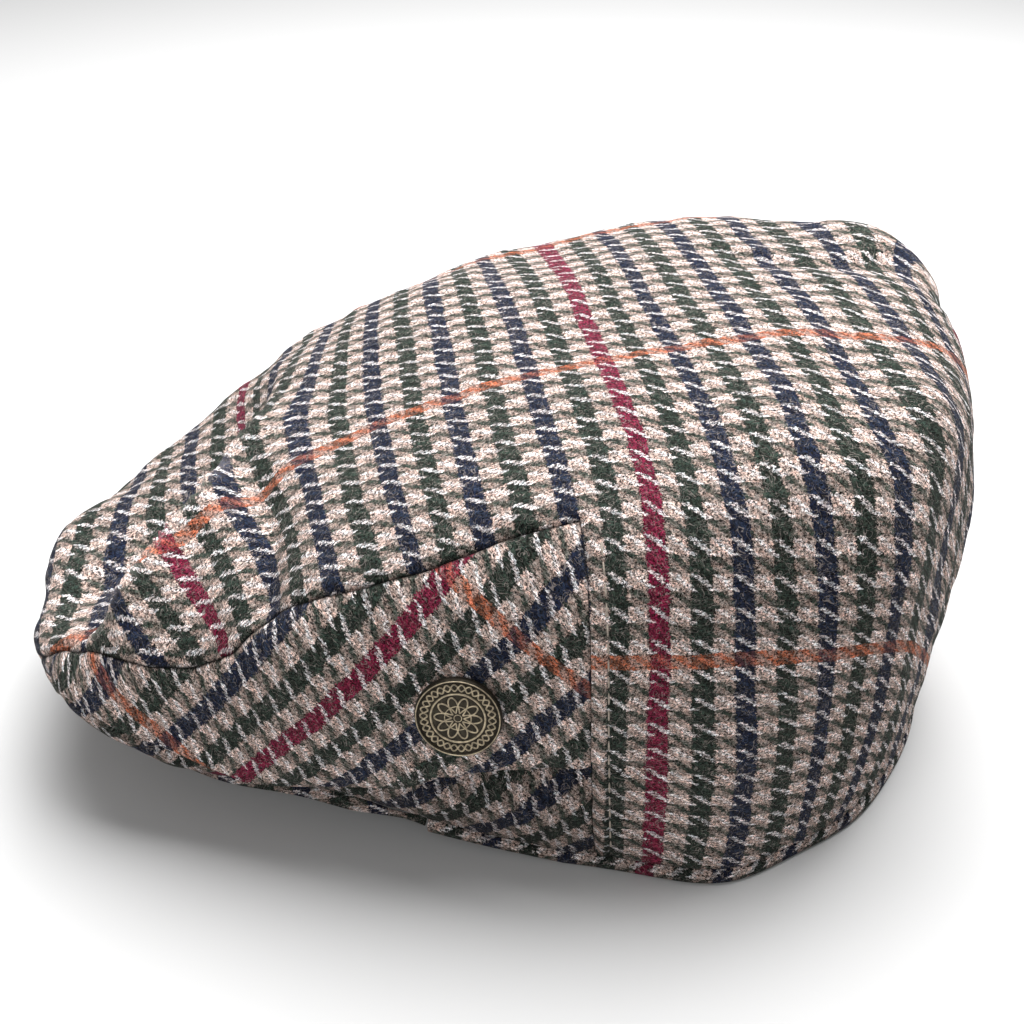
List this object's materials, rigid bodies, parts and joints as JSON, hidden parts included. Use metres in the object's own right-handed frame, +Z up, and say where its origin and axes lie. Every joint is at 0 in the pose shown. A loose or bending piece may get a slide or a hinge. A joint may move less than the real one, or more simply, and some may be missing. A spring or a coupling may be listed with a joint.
{
  "type": "flat cap",
  "caption": "Soft flat cap with a wide crown over a short stiff peak, bias side panels and a turned hem round an open head hollow.",
  "frame": {"origin": "on the surface the cap rests on, under the middle of its box", "axes": "+Z up, the peak points to -Y, the wearer's left is +X"},
  "size_m": [0.195, 0.258, 0.1212],
  "materials": {
    "tweed": "brushed wool twill, cream and dark green houndstooth with navy, burgundy and rust lines",
    "tweed_bias": "the same brushed wool twill, cut on the bias",
    "peak_tweed": "the same wool twill over a stiff board",
    "hem_tweed": "the same wool twill, turned and stitched",
    "antique_brass": "dark antique brass with worn bright relief"
  },
  "bodies": {
    "root": {"crown_top": "tweed", "side_panel_left": "tweed_bias", "side_panel_right": "tweed_bias", "peak": "peak_tweed", "hem_band": "hem_tweed", "badge": "antique_brass"}
  },
  "joints": []
}
